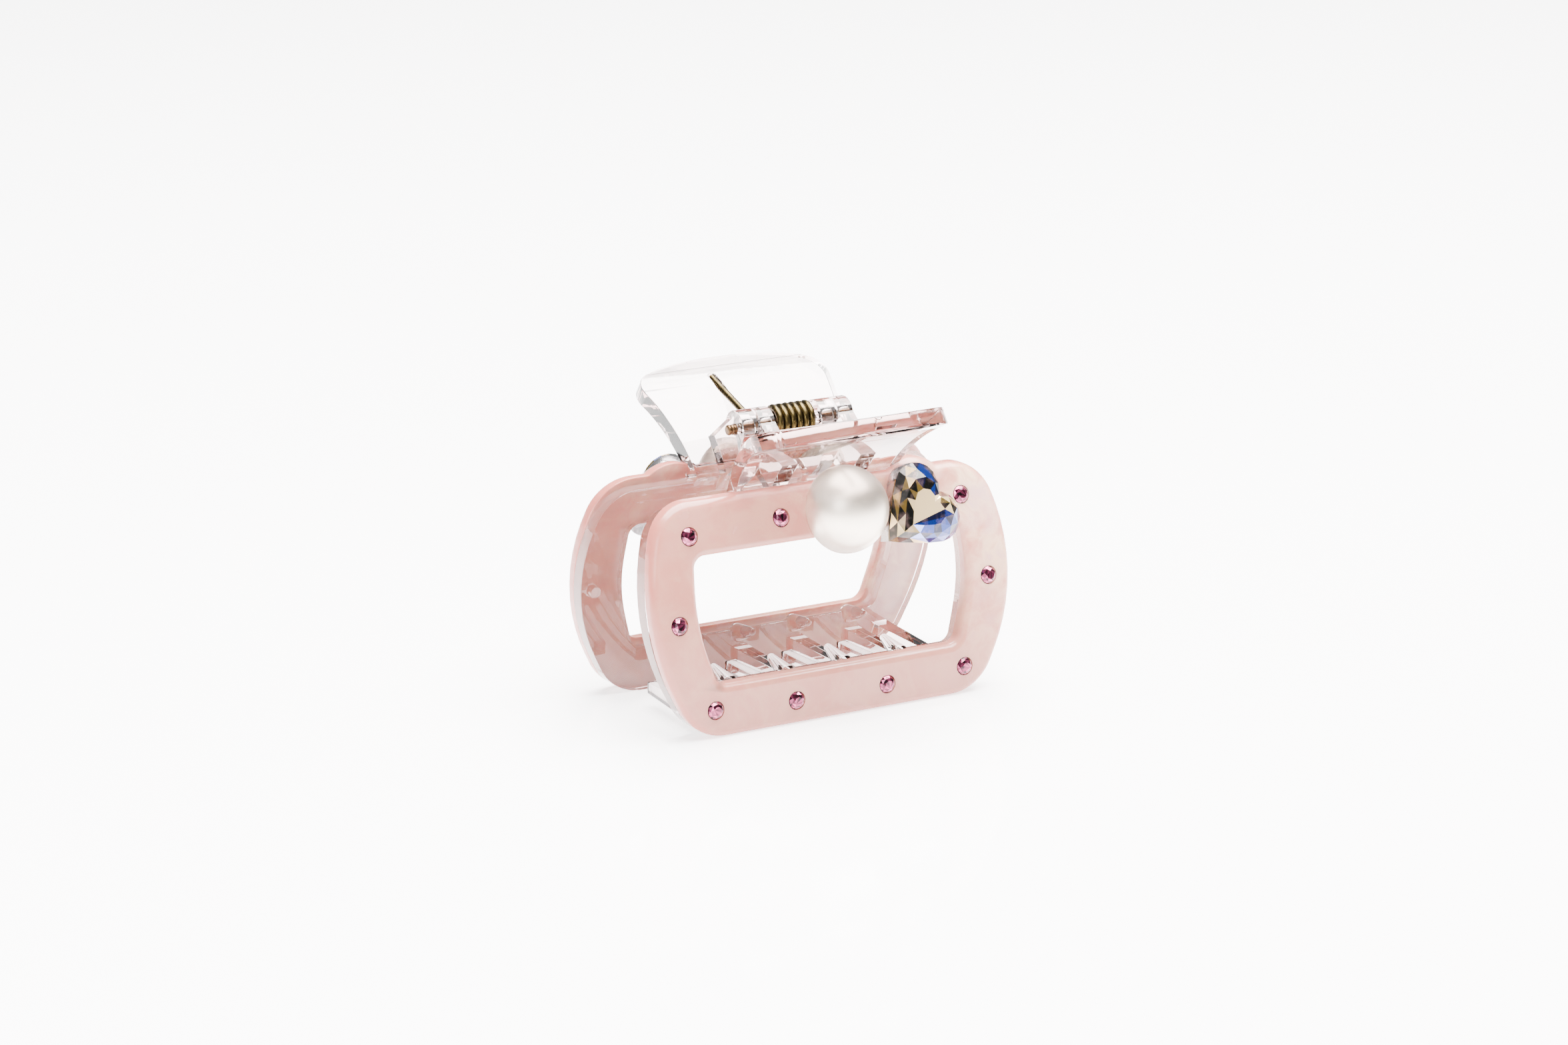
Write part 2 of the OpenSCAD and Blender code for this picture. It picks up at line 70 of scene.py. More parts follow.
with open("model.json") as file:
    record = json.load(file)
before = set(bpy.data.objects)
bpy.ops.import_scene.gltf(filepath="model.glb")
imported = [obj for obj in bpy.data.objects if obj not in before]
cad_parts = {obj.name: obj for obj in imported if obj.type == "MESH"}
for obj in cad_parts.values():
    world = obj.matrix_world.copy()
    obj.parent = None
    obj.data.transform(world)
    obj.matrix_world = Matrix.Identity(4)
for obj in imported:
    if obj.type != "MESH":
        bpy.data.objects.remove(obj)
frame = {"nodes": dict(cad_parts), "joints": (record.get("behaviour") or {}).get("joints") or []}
cad_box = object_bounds()

MM = 0.001
# How near, in metres, corners are merged, points touch and depths are the same
MERGED = 0.002 * MM
TOUCHING = 0.02 * MM
SAME_DEPTH = 0.1 * MM
FRONT, REAR = "front_half", "rear_half"
HALF_TURN = Matrix.Rotation(math.pi, 4, "Z")
HINGE = Vector(frame["joints"][0]["pos_m"])


def from_bytes(red, green, blue):
    """A screen colour from 0 to 255, as the linear colour that a shader takes."""
    return tuple(
        c / 12.92 if c <= 0.04045 else ((c + 0.055) / 1.055) ** 2.4
        for c in (red / 255, green / 255, blue / 255)
    ) + (1.0,)


def size(name, description, millimetres):
    return FloatProperty(
        name=name, description=description, default=millimetres * MM, min=0.0, unit="LENGTH", precision=5
    )


def colour(name, description, *screen):
    return FloatVectorProperty(
        name=name,
        description=description,
        default=from_bytes(*screen),
        size=4,
        min=0.0,
        max=1.0,
        subtype="COLOR",
    )


class ClipSizes(bpy.types.PropertyGroup):
    """Sizes of what is added to the frame, and of the bow that the frame's faces follow."""

    face_r: size("Face radius", "Radius of a jaw's bowed outer face", 90)
    plumb_z: FloatProperty(
        name="Plumb height",
        description="Height at which the outer face is upright",
        default=-2 * MM,
        unit="LENGTH",
    )
    layer_t: size("Layer thickness", "Thickness of the cover, and of the moulding behind it", 1.8)
    cover_edge: size("Cover edge", "Rounding of a cover's outer edges", 0.9)
    cover_seam: size("Cover seam", "Rounding of a cover's edges at the seam", 0.15)
    pocket_gap: size("Pocket gap", "Radial gap round a rhinestone in its pocket", 0.08)
    pocket_depth: size("Pocket depth", "Depth of a rhinestone's pocket", 0.8)
    bond: size("Bond", "Depth to which the moulding is bonded into the cover's back", 0.03)
    bow_slice: size("Bow slice", "Height of the slices that let a piece follow the bow", 1.0)
    window_side: size("Window side", "Walls farther in than this from a cover's sides are its window's", 5)
    window_top: size("Window top", "Walls farther in than this from its top and foot are its window's", 4)
    moulding_edge: size("Moulding edge", "Rounding of the clear moulding's edges", 0.1)
    stone_crown: size("Stone crown", "Height of a rhinestone's crown", 0.45)
    stone_depth: size("Stone depth", "Depth of a rhinestone below its girdle", 0.75)
    pearl_sunk: size("Pearl sunk", "Depth to which a pearl's back is sunk into the cover", 0.15)
    pearl_edge: size("Pearl edge", "Rounding of a pearl's back edge", 0.2)
    heart_w: size("Heart width", "Width of the heart across its lobes", 10.1)
    heart_setting: size("Setting height", "Height of the heart's metal setting", 1.5)
    cup_wall: size("Cup wall", "Wall of the heart's metal setting", 0.25)
    cup_depth: size("Cup depth", "Depth of the hollow in the heart's metal setting", 0.6)
    cup_edge: size("Cup edge", "Rounding of the metal setting's edges", 0.08)
    heart_crown: size("Heart crown", "Height of the heart's crown above its setting", 2.0)
    heart_turn: FloatProperty(
        name="Heart turn",
        description="Turn of the heart, clockwise",
        default=math.radians(57),
        subtype="ANGLE",
    )
    wire_d: size("Wire diameter", "Diameter of the spring wire", 0.82)
    coil_d: size("Coil diameter", "Outer diameter of the spring's coil", 4.5)
    coil_turns: IntProperty(
        name="Coil turns", description="Number of whole turns in the coil", default=6, min=1
    )
    pin_edge: size("Pin edge", "Rounding of the hinge pin's ends", 0.2)


class ClipColours(bpy.types.PropertyGroup):
    """Colours of the finishes."""

    rose: colour("Rose", "Deepest streaks of the pearly acrylic", 188, 120, 108)
    peach: colour("Peach", "Main colour of the pearly acrylic", 208, 156, 138)
    cream: colour("Cream", "Warm streaks of the pearly acrylic", 234, 202, 172)
    # Painted shade: the deeper colour low and left stands in for the shade that falls at the cover's foot.
    foot: colour("Foot", "Deeper colour low and left on the pearly acrylic", 160, 104, 92)
    lilac: colour("Lilac", "Cool patches of the pearly acrylic", 210, 172, 168)
    wall: colour("Wall", "Side walls of the pearly acrylic", 168, 94, 84)
    # Painted shade: the deeper rose of the side walls stands in for the darker look of the thick
    # translucent edge.
    clear: colour("Clear", "Tint of the clear plastic", 246, 238, 237)
    clear_depth: colour("Clear depth", "Colour that thick clear plastic turns", 240, 206, 202)
    # Painted light: glint, middle and shade are lit and shaded copies of one magenta for the rhinestone's
    # facets.
    stone_bright: colour("Rhinestone glint", "Bright facets of a rhinestone", 168, 76, 112)
    stone: colour("Rhinestone", "Middle facets of a rhinestone", 92, 22, 50)
    stone_dark: colour("Rhinestone shade", "Dark facets of a rhinestone", 26, 2, 12)
    pearl: colour("Pearl", "Lacquer of the pearl", 240, 226, 210)
    pearl_shade: colour("Pearl shade", "Cooler bands of the pearl", 206, 194, 184)
    # Painted shade among the heart's tints: the dark, olive gold and navy facets stand in for shaded
    # facets.
    heart_cream: colour("Heart cream", "Cream facets of the heart", 236, 206, 152)
    heart_gold: colour("Heart gold", "Olive gold facets of the heart", 96, 78, 34)
    heart_blue: colour("Heart blue", "Blue facets of the heart", 8, 36, 104)
    heart_navy: colour("Heart navy", "Navy facets of the heart", 6, 10, 40)
    heart_lilac: colour("Heart lilac", "Lilac facets of the heart", 126, 136, 194)
    heart_painted_shade: colour("Heart dark", "Darkest facets of the heart", 8, 8, 5)
    silver: colour("Silver", "The heart's metal setting", 205, 205, 208)
    silver_dull: colour("Dull silver", "Aged parts of the heart's metal setting", 120, 120, 126)
    pin: colour("Pin", "Bright parts of the hinge pin", 96, 72, 50)
    # Brass and patina are darker than bare brass: partly the brass's own aging, partly painted reflection
    # of dark surroundings.
    brass: colour("Brass", "Bright wire of the spring", 78, 66, 38)
    patina_and_painted_reflection: colour("Patina", "Aged parts of the brass", 18, 14, 8)
    floor: colour("Floor", "The plain floor", 250, 250, 252)
    top_light: colour("Top light", "Light of the softbox above", 255, 253, 250)
    front_light: colour("Front light", "Light of the softbox in front", 250, 252, 255)


# ---- Selecting, editing and finishing meshes ----


def only(*objects):
    """Leaves just these objects selected, the first one active."""
    bpy.ops.object.select_all(action="DESELECT")
    for each in objects:
        each.select_set(True)
    bpy.context.view_layer.objects.active = objects[0]


@contextmanager
def editing(piece, mode="VERT", everything=False):
    """Edit mode on one piece, with what was picked, or everything, selected."""
    only(piece)
    bpy.ops.object.mode_set(mode="EDIT")
    bpy.ops.mesh.select_mode(type=mode)
    if everything:
        bpy.ops.mesh.select_all(action="SELECT")
    yield
    bpy.ops.object.mode_set(mode="OBJECT")


def pick(piece, kind, test):
    """Selects only the vertices, edges or polygons of a piece that pass the test."""
    mesh = piece.data
    for group in (mesh.vertices, mesh.edges, mesh.polygons):
        group.foreach_set("select", [False] * len(group))
    chosen = getattr(mesh, kind)
    chosen.foreach_set("select", [bool(test(item)) for item in chosen])


def add_modifier(piece, kind, **settings):
    """Adds a modifier with its settings, and applies it."""
    only(piece)
    modifier = piece.modifiers.new(kind.title(), kind)
    for name, value in settings.items():
        setattr(modifier, name, value)
    bpy.ops.object.modifier_apply(modifier=modifier.name)


def move_points(piece, rule):
    for vertex in piece.data.vertices:
        vertex.co = rule(vertex.co)
    piece.data.update()


def settle(piece):
    """Puts a piece's place, turn and scale into its mesh."""
    only(piece)
    bpy.ops.object.transform_apply(location=True, rotation=True, scale=True)


def named(name):
    """The object that an operator has just added, with its name."""
    piece = bpy.context.active_object
    piece.name = name
    piece.data.name = name
    return piece


def copy_of(piece, name, matrix):
    """A copy with its own mesh, moved by a matrix."""
    twin = bpy.data.objects.new(name, piece.data.copy())
    twin.data.name = name
    twin.data.transform(matrix)
    bpy.context.collection.objects.link(twin)
    return twin


def empty_piece(name):
    """A piece with nothing in its mesh yet, for rings of corners to be added to."""
    bpy.ops.object.select_all(action="DESELECT")
    bpy.ops.mesh.primitive_circle_add(vertices=3, radius=MM)
    piece = named(name)
    with editing(piece, everything=True):
        bpy.ops.mesh.delete(type="VERT")
    return piece


def copy_of_node(node, name):
    """A CAD node's shape as a new piece, with its loose triangles merged into plain faces."""
    piece = copy_of(frame["nodes"][node], name, Matrix.Identity(4))
    piece.data.materials.clear()
    with editing(piece, everything=True):
        bpy.ops.mesh.remove_doubles(threshold=MERGED)
        bpy.ops.mesh.customdata_custom_splitnormals_clear()
    return piece


def dissolve(piece, degrees):
    with editing(piece, everything=True):
        bpy.ops.mesh.dissolve_limited(angle_limit=math.radians(degrees), delimit=set())


def smooth(piece, degrees=40):
    """Smooth shading up to an angle, with large faces ruling the small ones beside them."""
    only(piece)
    bpy.ops.object.shade_smooth_by_angle(angle=math.radians(degrees))
    add_modifier(piece, "WEIGHTED_NORMAL", keep_sharp=True, weight=50)


def dress(piece, finish, slot_name, body, *replaced):
    """Gives a finished piece its material, its body and the nodes it stands for; slot_name is not used."""
    piece.data.materials.clear()
    piece.data.materials.append(finish)
    if body:
        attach(piece, body)
    if replaced:
        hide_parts(*replaced)


def dress_pair(piece, twin_name, finish, slot_name, *parts):
    """Dresses a front piece and its rear twin, which is the front one after half a turn."""
    twin = copy_of(piece, twin_name, HALF_TURN)
    dress(piece, finish, slot_name, FRONT, *[f"front_{part}" for part in parts])
    dress(twin, finish, slot_name, REAR, *[f"rear_{part}" for part in parts])


# ---- The bowed face of a front jaw ----


def bow_axis_y(sizes):
    """Y of the line that the face is bowed about, from the cover's foot, its foremost point."""
    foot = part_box("front_cover")[0]
    return foot.y + math.sqrt(sizes.face_r**2 - sizes.plumb_z**2)


def unbend(sizes):
    """Rule that lays the bowed face flat: Y becomes the depth below it, and Z the way along it."""
    axis_y = bow_axis_y(sizes)

    def rule(point):
        back, up = axis_y - point.y, point.z - sizes.plumb_z
        return Vector((point.x, sizes.face_r - math.hypot(back, up), sizes.face_r * math.atan2(up, back)))

    return rule


def bend(sizes):
    """Rule that bows a flat layout again."""
    axis_y = bow_axis_y(sizes)

    def rule(point):
        radius, angle = sizes.face_r - point.y, point.z / sizes.face_r
        return Vector(
            (point.x, axis_y - radius * math.cos(angle), sizes.plumb_z + radius * math.sin(angle))
        )

    return rule


def on_face(sizes, x, z):
    """Matrix that stands a piece on the face at [x, z], with its own +Z pointing out of it."""
    lean = math.asin((z - sizes.plumb_z) / sizes.face_r)
    y = bow_axis_y(sizes) - sizes.face_r * math.cos(lean)
    return Matrix.Translation((x, y, z)) @ Matrix.Rotation(math.pi / 2 - lean, 4, "X")


def stone_radius():
    low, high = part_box("front_rhinestone_1")
    return (high.x - low.x) / 2


def stone_places():
    """Number, x and z of each rhinestone on the front jaw, from its node."""
    places = []
    for name in frame["nodes"]:
        if name.startswith("front_rhinestone_"):
            low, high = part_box(name)
            places.append((int(name.rsplit("_", 1)[1]), (low.x + high.x) / 2, (low.z + high.z) / 2))
    return sorted(places)


# ---- Shader maths ----


class Wire:
    """A node's output in an expression: each sum or product on it adds a Math node."""

    def __init__(self, finish, socket):
        self.finish = finish
        self.socket = socket

    def __add__(self, other):
        return self.finish.math("ADD", self, other)

    def __mul__(self, other):
        return self.finish.math("MULTIPLY", self, other)

    __radd__ = __add__
    __rmul__ = __mul__


class Finish:
    """A procedural material, whose steady values are set straight on the shader's sockets."""

    def __init__(self, name, **values):
        self.material = bpy.data.materials.new(name)
        self.material.use_nodes = True
        self.tree = self.material.node_tree
        self.shader = self.tree.nodes["Principled BSDF"]
        for socket, value in values.items():
            self.shader.inputs[socket.replace("_", " ")].default_value = value

    def node(self, kind, inputs=None, output=0, stops=None, **settings):
        """Adds a node with its settings, then the values or wires of its sockets."""
        node = self.tree.nodes.new("ShaderNode" + kind)
        for name, value in settings.items():
            setattr(node, name, value)
        if stops:
            for position, tint in stops[2:]:
                node.color_ramp.elements.new(position).color = tint
            in_order = sorted(stops, key=lambda stop: stop[0])
            for element, (position, tint) in zip(node.color_ramp.elements, in_order):
                element.position = position
                element.color = tint
        for key, value in (inputs or {}).items():
            self.feed(node.inputs[key], value)
        return Wire(self, node.outputs[output])

    def feed(self, socket, value):
        if isinstance(value, Wire):
            self.tree.links.new(value.socket, socket)
        else:
            socket.default_value = value

    def drive(self, **wires):
        """Feeds what varies over the surface to the shader's sockets."""
        for socket, value in wires.items():
            self.feed(self.shader.inputs[socket.replace("_", " ")], value)

    def math(self, operation, *values):
        return self.node("Math", dict(enumerate(values)), operation=operation)

    def mix(self, factor, first, second):
        return self.node("Mix", {0: factor, 6: first, 7: second}, output=2, data_type="RGBA")

    def place(self, stretch=(1, 1, 1)):
        """The place on the object in millimetres, stretched along each axis."""
        where = self.node("TexCoord", output="Object")
        scale = [factor / MM for factor in stretch]
        return self.node("Mapping", {"Vector": where, "Scale": scale})

    def slant(self, where):
        """Mean of a place's three coordinates, which rises upwards, to the right and to the back."""
        shares = (1 / 3, 1 / 3, 1 / 3)
        return self.node("VectorMath", {0: where, 1: shares}, output="Value", operation="DOT_PRODUCT")

    def noise(self, where, scale, detail=3.0, roughness=0.5, output="Fac"):
        return self.node(
            "TexNoise",
            {"Vector": where, "Scale": scale, "Detail": detail, "Roughness": roughness},
            output=output,
        )

    def warp(self, where, scale, reach):
        """The place, pushed about by a slow noise, which turns patches into swirls."""
        push = self.noise(where, scale, detail=2.0, output="Color")
        centred = self.node("VectorMath", {0: push, 1: (0.5, 0.5, 0.5)}, operation="SUBTRACT")
        scaled = self.node("VectorMath", {0: centred, "Scale": reach}, operation="SCALE")
        return self.node("VectorMath", {0: where, 1: scaled}, operation="ADD")

    def ramp(self, factor, *stops):
        return self.node("ValToRGB", {0: factor}, stops=stops)

    def span(self, value, low, high, to_low=0.0, to_high=1.0):
        return self.node(
            "MapRange",
            {"Value": value, "From Min": low, "From Max": high, "To Min": to_low, "To Max": to_high},
            clamp=True,
        )

    def attribute(self, name, output="Fac"):
        return self.node("Attribute", output=output, attribute_name=name)

    def bump(self, height, strength, distance):
        return self.node("Bump", {"Height": height, "Strength": strength, "Distance": distance})


# ---- Finishes ----


def pearly_acrylic(colours):
    """Marbled acrylic: peach and rose swirls, cream streaks, lilac patches, with painted shade that deepens
    it at the low left.
    """
    finish = Finish(
        "pearly acrylic",
        Subsurface_Weight=0.35,
        Subsurface_Radius=(1.0, 0.5, 0.45),
        Subsurface_Scale=1.2 * MM,
        Coat_Weight=0.25,
        Coat_Roughness=0.06,
        Specular_IOR_Level=0.3,
        IOR=1.49,
    )
    where = finish.place()
    # Painted shade: this share grows towards the low left and front, where shade falls at the foot.
    foot = finish.span(finish.slant(where), 3, 14, 0.9, 0.0)
    swirl = finish.warp(where, 0.06, 14.0)
    streaks = finish.noise(finish.warp(where, 0.13, 11.0), 0.16, detail=5.0, roughness=0.6)
    body = finish.ramp(
        streaks, (0.36, colours.rose), (0.66, colours.lilac), (0.47, colours.peach), (0.57, colours.cream)
    )
    patches = finish.span(finish.noise(swirl, 0.17, detail=3.0), 0.5, 0.64, 0.0, 0.6)
    marbled = finish.mix(patches, body, colours.lilac)
    veins = finish.span(finish.noise(swirl, 0.3, detail=5.0, roughness=0.6), 0.52, 0.64, 0.0, 0.6)
    veined = finish.mix(foot, finish.mix(veins, marbled, colours.cream), colours.foot)
    wall = finish.attribute("wall")
    ripple = finish.noise(finish.warp(where, 0.2, 4.0), 0.35, detail=2.0)
    finish.drive(
        # The wall mark paints shade on the cover's side walls.
        Base_Color=finish.mix(wall * 0.85, veined, colours.wall),
        Roughness=finish.span(streaks, 0.3, 0.7, 0.14, 0.3),
        Normal=finish.bump(ripple, 0.12, 0.1 * MM),
    )
    return finish.material


def clear_plastic(colours):
    """Clear moulded plastic with a pink cast where light has a long way through it."""
    finish = Finish(
        "clear plastic",
        Base_Color=colours.clear,
        Transmission_Weight=1.0,
        IOR=1.49,
        Coat_Weight=0.2,
        Coat_Roughness=0.03,
    )
    where = finish.place()
    flow = finish.noise(finish.warp(where, 0.12, 8.0), 0.25, detail=2.0)
    scuffs = finish.noise(where, 1.6, detail=5.0, roughness=0.7)
    finish.drive(
        Roughness=finish.span(scuffs, 0.5, 0.8, 0.02, 0.12),
        Normal=finish.bump(flow, 0.15, 0.15 * MM),
    )
    depth = finish.node("VolumeAbsorption", {"Color": colours.clear_depth, "Density": 55.0})
    output = finish.tree.nodes["Material Output"]
    finish.feed(output.inputs["Volume"], depth)
    return finish.material


def pink_rhinestone(colours):
    """A foil-backed cut stone: each facet takes its own place on a ramp from painted shade to painted
    glint, with noise that paints more glints.
    """
    finish = Finish("pink rhinestone", Metallic=0.9, Coat_Weight=0.4, Coat_Roughness=0.02, IOR=1.55)
    facet = finish.attribute("facet")
    # Painted glints: noise that lightens the colour in spots.
    glint = finish.noise(finish.place(), 1.4, detail=1.0)
    tone = finish.ramp(
        facet, (0.0, colours.stone_dark), (1.0, colours.stone_bright), (0.5, colours.stone)
    )
    finish.drive(
        Base_Color=finish.mix(finish.span(glint, 0.4, 0.7, 0.0, 0.35), tone, colours.stone_bright),
        Roughness=finish.span(facet, 0.0, 1.0, 0.12, 0.04),
    )
    return finish.material


def heart_crystal(colours):
    """Foiled crystal whose facets hold their own colour, painted shade among them, with a faint painted
    lilac sparkle.
    """
    finish = Finish("heart crystal", Metallic=0.6, Coat_Weight=0.3, Coat_Roughness=0.01, IOR=1.6)
    tint = finish.attribute("facet_colour", output="Color")
    # Painted sparkle: noise that tints the colour lilac in spots.
    painted_sparkle = finish.noise(finish.place(), 0.9, detail=2.0)
    finish.drive(
        Base_Color=finish.mix(finish.span(painted_sparkle, 0.5, 0.7, 0.0, 0.12), tint, colours.lilac),
        Roughness=finish.span(painted_sparkle, 0.3, 0.7, 0.04, 0.1),
    )
    return finish.material


def pearl_lacquer(colours):
    """Satin pearl: soft lacquer over a milky body, with faint bands."""
    finish = Finish(
        "pearl lacquer",
        Subsurface_Weight=0.2,
        Subsurface_Radius=(1.0, 0.9, 0.8),
        Subsurface_Scale=1.5 * MM,
        Coat_Weight=0.5,
        Coat_Roughness=0.2,
        Sheen_Weight=0.25,
        Sheen_Roughness=0.4,
        Sheen_Tint=colours.lilac,
        IOR=1.53,
    )
    where = finish.place()
    bands = finish.noise(finish.warp(where, 0.15, 4.0), 0.22, detail=2.0)
    specks = finish.noise(where, 3.0, detail=2.0)
    orange_peel = finish.noise(where, 2.2, detail=2.0)
    toned = finish.mix(finish.span(bands, 0.4, 0.7, 0.0, 0.6), colours.pearl, colours.pearl_shade)
    finish.drive(
        Base_Color=finish.mix(finish.span(specks, 0.74, 0.8, 0.0, 0.5), toned, colours.pearl_shade),
        Metallic=finish.span(bands, 0.3, 0.7, 0.85, 0.95),
        Roughness=finish.span(bands, 0.3, 0.7, 0.4, 0.36),
        Normal=finish.bump(orange_peel, 0.05, 0.03 * MM),
    )
    return finish.material


def worn_metal(name, bright, dark, roughness, wear):
    """Plated metal: bright where it's rubbed, darker where the plating has aged."""
    finish = Finish(name, Metallic=1.0)
    where = finish.place()
    age = finish.noise(where, 0.8, detail=5.0, roughness=0.65)
    grain = finish.noise(finish.place((6, 1, 1)), 2.5, detail=3.0)
    aged = finish.span(age, 0.5 - wear, 0.75, 0.0, 1.0)
    finish.drive(
        Base_Color=finish.mix(aged, bright, dark),
        Roughness=aged * 0.2 + finish.span(grain, 0.3, 0.7, roughness, roughness + 0.1),
        Normal=finish.bump(grain, 0.1, 0.02 * MM),
    )
    return finish.material


def plain_floor(colours):
    """A pale floor that glows, so that it stays near white round the clip."""
    finish = Finish(
        "floor", Specular_IOR_Level=0.35, Emission_Color=(1, 1, 1, 1), Emission_Strength=2.5
    )
    dust = finish.noise(finish.place(), 0.02, detail=3.0)
    finish.drive(
        Base_Color=finish.mix(finish.span(dust, 0.3, 0.7, 0.0, 0.02), colours.floor, colours.pearl_shade),
        Roughness=finish.span(dust, 0.3, 0.7, 0.06, 0.08),
    )
    return finish.material


def mark_painted_facet_light(piece, steps=7, stride=3):
    """Gives each facet its own steady place from 0 to 1, in an order that scatters neighbours; the
    rhinestone's ramp turns it into the facet's painted light.
    """
    marks = piece.data.attributes.new("facet", "FLOAT", "FACE")
    places = [(i * stride % steps) / (steps - 1) for i in range(len(piece.data.polygons))]
    marks.data.foreach_set("value", places)


# ---- Operators ----


class PieceOperator(bpy.types.Operator):
    """Shared by the operators: they read the scene's sizes and colours, and build."""

    bl_options = {"REGISTER", "UNDO"}

    def execute(self, context):
        self.build(context.scene.clip_sizes, context.scene.clip_colours)
        return {"FINISHED"}


class CLIP_OT_covers(PieceOperator):
    """Adds the two pearly covers, with rounded edges and a pocket for each rhinestone"""

    bl_idname = "clip.covers"
    bl_label = "Covers"

    def build(self, sizes, colours):
        cover = copy_of_node("front_cover", "front_pearly_cover")
        move_points(cover, unbend(sizes))
        self.close_pockets(cover, sizes)
        dissolve(cover, 0.5)
        self.round_edges(cover, sizes)
        self.slice_across(cover, sizes.bow_slice)
        move_points(cover, bend(sizes))
        self.drill_pockets(cover, sizes)
        self.mark_wall_shade(cover, sizes)
        smooth(cover)
        dress_pair(cover, "rear_pearly_cover", pearly_acrylic(colours), "pearly_acrylic", "cover")

    def close_pockets(self, cover, sizes):
        """Fills the stones' pockets, so that the face is plain while its edges are rounded."""
        points = cover.data.vertices

        def in_pocket(polygon):
            deepest = max(points[i].co.y for i in polygon.vertices)
            return SAME_DEPTH < deepest < sizes.layer_t - SAME_DEPTH

        pick(cover, "polygons", in_pocket)
        with editing(cover, "FACE"):
            bpy.ops.mesh.delete(type="FACE")
            bpy.ops.mesh.select_mode(type="VERT")
            bpy.ops.mesh.select_all(action="SELECT")
            bpy.ops.mesh.fill_holes(sides=0)

    def round_edges(self, cover, sizes):
        """Rounds the face's edges well and the seam's edges a little."""
        mesh = cover.data
        walls = set()
        for polygon in mesh.polygons:
            depths = [mesh.vertices[i].co.y for i in polygon.vertices]
            if max(depths) - min(depths) > sizes.layer_t / 2:
                walls.update(polygon.edge_keys)
        weights = mesh.attributes.new("bevel_weight_edge", "FLOAT", "EDGE")
        for edge in mesh.edges:
            start, end = (mesh.vertices[i].co.y for i in edge.vertices)
            if edge.key in walls and abs(start - end) < SAME_DEPTH:
                on_the_face = start < SAME_DEPTH
                weights.data[edge.index].value = 1.0 if on_the_face else sizes.cover_seam / sizes.cover_edge
        add_modifier(
            cover,
            "BEVEL",
            limit_method="WEIGHT",
            width=sizes.cover_edge,
            segments=6,
            use_clamp_overlap=False,
            offset_type="OFFSET",
        )

    def slice_across(self, cover, height):
        """Cuts the flat cover across at even heights, so that it can follow the bow."""
        low = min(v.co.z for v in cover.data.vertices)
        high = max(v.co.z for v in cover.data.vertices)
        with editing(cover):
            for step in range(1, int((high - low) / height) + 1):
                bpy.ops.mesh.select_all(action="SELECT")
                bpy.ops.mesh.bisect(plane_co=(0, 0, low + step * height), plane_no=(0, 0, 1))

    def drill_pockets(self, cover, sizes):
        """Sinks a pocket for each rhinestone into the bowed face."""
        drills = []
        for number, x, z in stone_places():
            bpy.ops.mesh.primitive_cylinder_add(
                vertices=32, radius=stone_radius() + sizes.pocket_gap, depth=2 * sizes.pocket_depth
            )
            drills.append(named(f"drill_{number}"))
            drills[-1].data.transform(on_face(sizes, x, z))
        only(*drills)
        bpy.ops.object.join()
        add_modifier(cover, "BOOLEAN", operation="DIFFERENCE", solver="EXACT", object=drills[0])
        bpy.data.objects.remove(drills[0])

    def mark_wall_shade(self, cover, sizes):
        """Marks painted shade from 0 on the face to 1 on the outer wall; lower in the window and on the
        seam.
        """
        seam_share, window_share = 0.15, 0.3
        wall = cover.data.attributes.new("wall", "FLOAT", "POINT")
        flat = unbend(sizes)
        low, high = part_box("front_cover")
        half_w, half_h, middle = (high.x - low.x) / 2, (high.z - low.z) / 2, (high.z + low.z) / 2
        for vertex, mark in zip(cover.data.vertices, wall.data):
            x, depth, z = flat(vertex.co)
            in_window = abs(x) < half_w - sizes.window_side and abs(z - middle) < half_h - sizes.window_top
            share = math.sqrt(min(1.0, max(0.0, depth / sizes.cover_edge)))
            if depth > sizes.layer_t - TOUCHING:
                share = seam_share
            mark.value = window_share * share if in_window else share


class CLIP_OT_mouldings(PieceOperator):
    """Adds the two clear mouldings with their levers, ears and teeth, their edges softened"""

    bl_idname = "clip.mouldings"
    bl_label = "Mouldings"

    def build(self, sizes, colours):
        moulding = copy_of_node("front_jaw", "front_clear_moulding")
        self.true_up(moulding, sizes)
        dissolve(moulding, 0.2)
        self.join_corners(moulding, sizes)
        add_modifier(
            moulding,
            "BEVEL",
            limit_method="ANGLE",
            angle_limit=math.radians(40),
            width=sizes.moulding_edge,
            segments=2,
            use_clamp_overlap=False,
        )
        smooth(moulding)
        dress_pair(moulding, "rear_clear_moulding", clear_plastic(colours), "clear_plastic", "jaw")

    def join_corners(self, moulding, sizes):
        """Joins those of a lever's outer corners that are nearer together than the bevel's width."""
        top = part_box("front_cover")[1].z
        outward = 8 * MM

        def on_rim(vertex):
            x, y, z = vertex.co
            return z > top and abs(y) > outward and abs(x) > outward

        pick(moulding, "vertices", on_rim)
        with editing(moulding):
            bpy.ops.mesh.remove_doubles(threshold=sizes.moulding_edge)

    def true_up(self, moulding, sizes):
        """Slices the frame across and moves the corners near its two bowed faces onto them.

        Those of the seam go on into the cover's back, by the bond's depth.
        """
        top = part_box("front_cover")[1].z
        near_bow = 0.08 * MM
        with editing(moulding):
            for step in range(1, int(top / sizes.bow_slice)):
                bpy.ops.mesh.select_all(action="SELECT")
                bpy.ops.mesh.bisect(plane_co=(0, 0, step * sizes.bow_slice), plane_no=(0, 0, 1))
        axis = Vector((0, bow_axis_y(sizes), sizes.plumb_z))
        seam, inside = sizes.face_r - sizes.layer_t, sizes.face_r - 2 * sizes.layer_t
        bows = {seam: seam + sizes.bond, inside: inside}

        def rule(point):
            spoke = Vector((0, point.y, point.z)) - axis
            for bow, reach in bows.items():
                if point.z < top and abs(spoke.length - bow) < near_bow:
                    return Vector((point.x, 0, 0)) + axis + spoke * (reach / spoke.length)
            return point

        move_points(moulding, rule)


